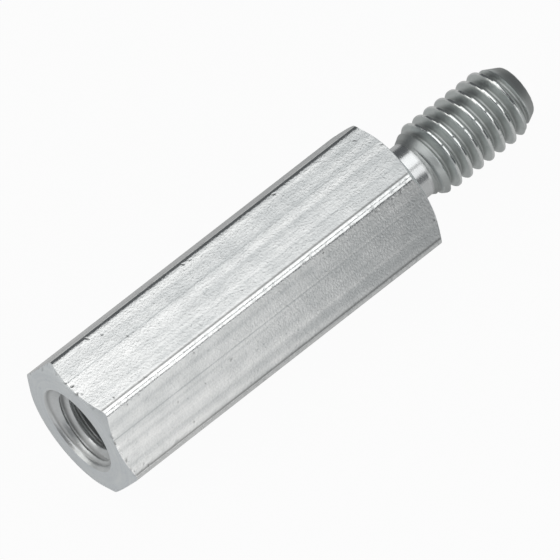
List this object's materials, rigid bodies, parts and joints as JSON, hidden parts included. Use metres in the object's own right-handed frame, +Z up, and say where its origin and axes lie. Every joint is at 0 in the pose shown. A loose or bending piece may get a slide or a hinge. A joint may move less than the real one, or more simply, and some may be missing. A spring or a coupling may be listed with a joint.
{
  "type": "hex standoff",
  "caption": "Hexagonal steel spacer turned from bar, with a threaded stud on one end and a countersunk threaded blind hole in the other, lying on a flat.",
  "frame": {"origin": "on the surface that the part lies on, under the middle of its overall length", "axes": "+X along the axis towards the stud's tip, +Z up, out of the flat opposite the one it lies on"},
  "size_m": [0.028, 0.008, 0.007],
  "materials": {
    "zinc_plate": "satin bright zinc plate on steel"
  },
  "bodies": {
    "root": {"hex_standoff": "zinc_plate"}
  },
  "joints": []
}
